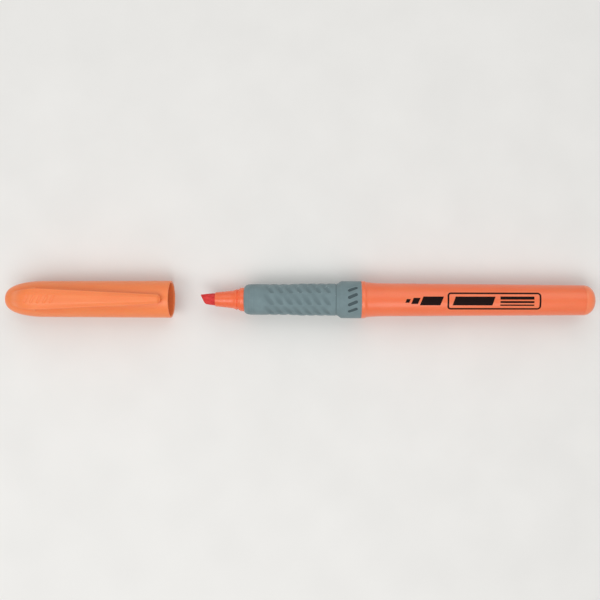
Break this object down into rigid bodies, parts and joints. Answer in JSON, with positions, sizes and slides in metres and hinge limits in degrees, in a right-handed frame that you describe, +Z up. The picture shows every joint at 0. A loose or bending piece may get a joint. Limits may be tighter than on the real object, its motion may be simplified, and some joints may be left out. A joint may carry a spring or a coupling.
{
  "type": "capped highlighter",
  "caption": "Highlighter pen with a chisel nib, a rubber grip sleeve with a wider collar, a tapered barrel, and a push-on cap with a spring clip, lying uncapped in line.",
  "frame": {"origin": "the middle of the laid-out length, on the table under the pen's axis, which is 6.18 mm up", "axes": "+X from the cap's dome towards the pen's tail, +Y towards the nib's long point, +Z up, towards the clip"},
  "size_m": [0.1958, 0.0124, 0.0144],
  "materials": {
    "cap_plastic": "satin",
    "liner_plastic": "satin",
    "nib_fibre": "matte",
    "nozzle_plastic": "gloss",
    "grip_rubber": "matte",
    "barrel_plastic": "satin",
    "print_ink": "matte",
    "reservoir_fibre": "matte",
    "wrap_film": "satin"
  },
  "bodies": {
    "pen": {"nib": "nib_fibre", "nozzle": "nozzle_plastic", "grip_sleeve": "grip_rubber", "barrel": "barrel_plastic", "end_plug": "barrel_plastic", "ink_reservoir": "reservoir_fibre", "reservoir_wrap": "wrap_film"},
    "cap": {"cap_shell": "cap_plastic", "cap_liner": "liner_plastic"},
    "clip": {"cap_clip": "cap_plastic"}
  },
  "joints": [
    {"name": "cap_slide", "type": "slide", "parent": "pen", "child": "cap", "axis": [1, 0, 0], "range_m": [0, 0.05568]},
    {"name": "clip_flex", "type": "hinge", "parent": "cap", "child": "clip", "pos_m": [-0.08565, 0, 0.01438], "axis": [0, -1, 0], "range_deg": [0, 3], "stiffness_Nm_per_rad": 2}
  ]
}
